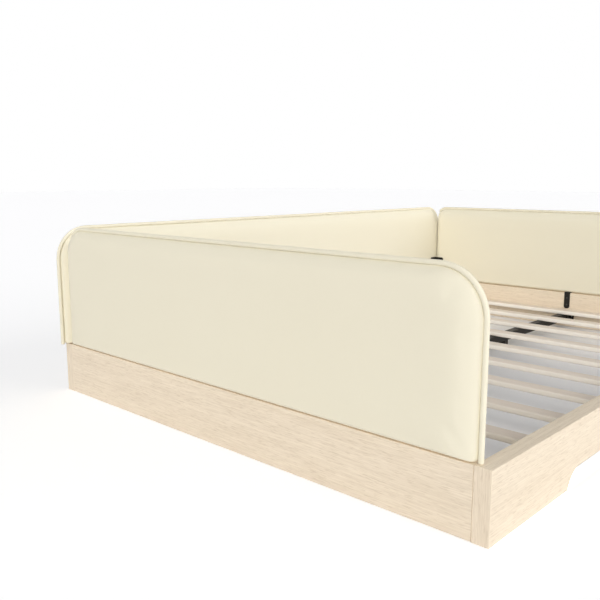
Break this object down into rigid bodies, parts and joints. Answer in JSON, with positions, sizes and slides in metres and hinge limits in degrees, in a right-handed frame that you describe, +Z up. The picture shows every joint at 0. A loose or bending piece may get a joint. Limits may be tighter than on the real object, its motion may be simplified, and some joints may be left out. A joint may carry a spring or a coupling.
{
  "type": "toddler floor bed",
  "caption": "Low timber floor bed with a slatted base, side rails cut out along the floor and padded guard panels round the foot, one side and the head, open at the other side.",
  "frame": {"origin": "on the floor, under the middle of the whole bed", "axes": "+Z up; +Y along the bed's length from the foot end to the head end; +X across the bed towards its open long side"},
  "size_m": [1.486, 2.131, 0.5155],
  "materials": {
    "oak_laminate": "pale washed oak laminate with fine grain along each rail, matt",
    "slat_wood": "planed light plywood, unvarnished",
    "cleat_wood": "planed softwood",
    "black_steel": "black powder coat, fine texture",
    "screw_steel": "zinc plated",
    "black_plastic": "moulded, matt",
    "panel_board": "fibreboard, covered",
    "cream_cover": "smooth cream cover over foam, faint sheen, tight at the faces"
  },
  "bodies": {
    "root": {"foot_rail": "oak_laminate", "head_rail": "oak_laminate", "side_rail_left": "oak_laminate", "side_rail_right": "oak_laminate", "slat_01": "slat_wood", "slat_02": "slat_wood", "slat_03": "slat_wood", "slat_04": "slat_wood", "slat_05": "slat_wood", "slat_06": "slat_wood", "slat_07": "slat_wood", "slat_08": "slat_wood", "slat_09": "slat_wood", "slat_10": "slat_wood", "cleat_left": "cleat_wood", "cleat_right": "cleat_wood", "frame_dowels": "cleat_wood", "centre_beam": "black_steel", "beam_hanger_foot": "black_steel", "beam_hanger_head": "black_steel", "beam_leg_foot": "black_steel", "beam_leg_head": "black_steel", "panel_strap_foot_1": "black_steel", "panel_strap_foot_2": "black_steel", "panel_strap_head_1": "black_steel", "panel_strap_head_2": "black_steel", "panel_strap_side_1": "black_steel", "panel_strap_side_2": "black_steel", "panel_strap_side_3": "black_steel", "corner_bracket_foot": "black_steel", "corner_bracket_head": "black_steel", "frame_angle_foot_left": "black_steel", "frame_angle_foot_right": "black_steel", "frame_angle_head_left": "black_steel", "frame_angle_head_right": "black_steel", "frame_angle_screws": "screw_steel", "cleat_screws": "screw_steel", "slat_screws": "screw_steel", "beam_hanger_screws": "screw_steel", "panel_strap_screws": "screw_steel", "corner_bracket_screws": "screw_steel", "leg_plug_foot": "black_plastic", "leg_plug_head": "black_plastic", "leg_glide_foot": "black_plastic", "leg_glide_head": "black_plastic", "foot_panel_board": "panel_board", "head_panel_board": "panel_board", "side_panel_board": "panel_board", "foot_panel_outer_pad": "cream_cover", "foot_panel_inner_pad": "cream_cover", "head_panel_outer_pad": "cream_cover", "head_panel_inner_pad": "cream_cover", "side_panel_outer_pad": "cream_cover", "side_panel_inner_pad": "cream_cover", "foot_panel_piping": "cream_cover", "head_panel_piping": "cream_cover", "side_panel_piping": "cream_cover"}
  },
  "joints": []
}
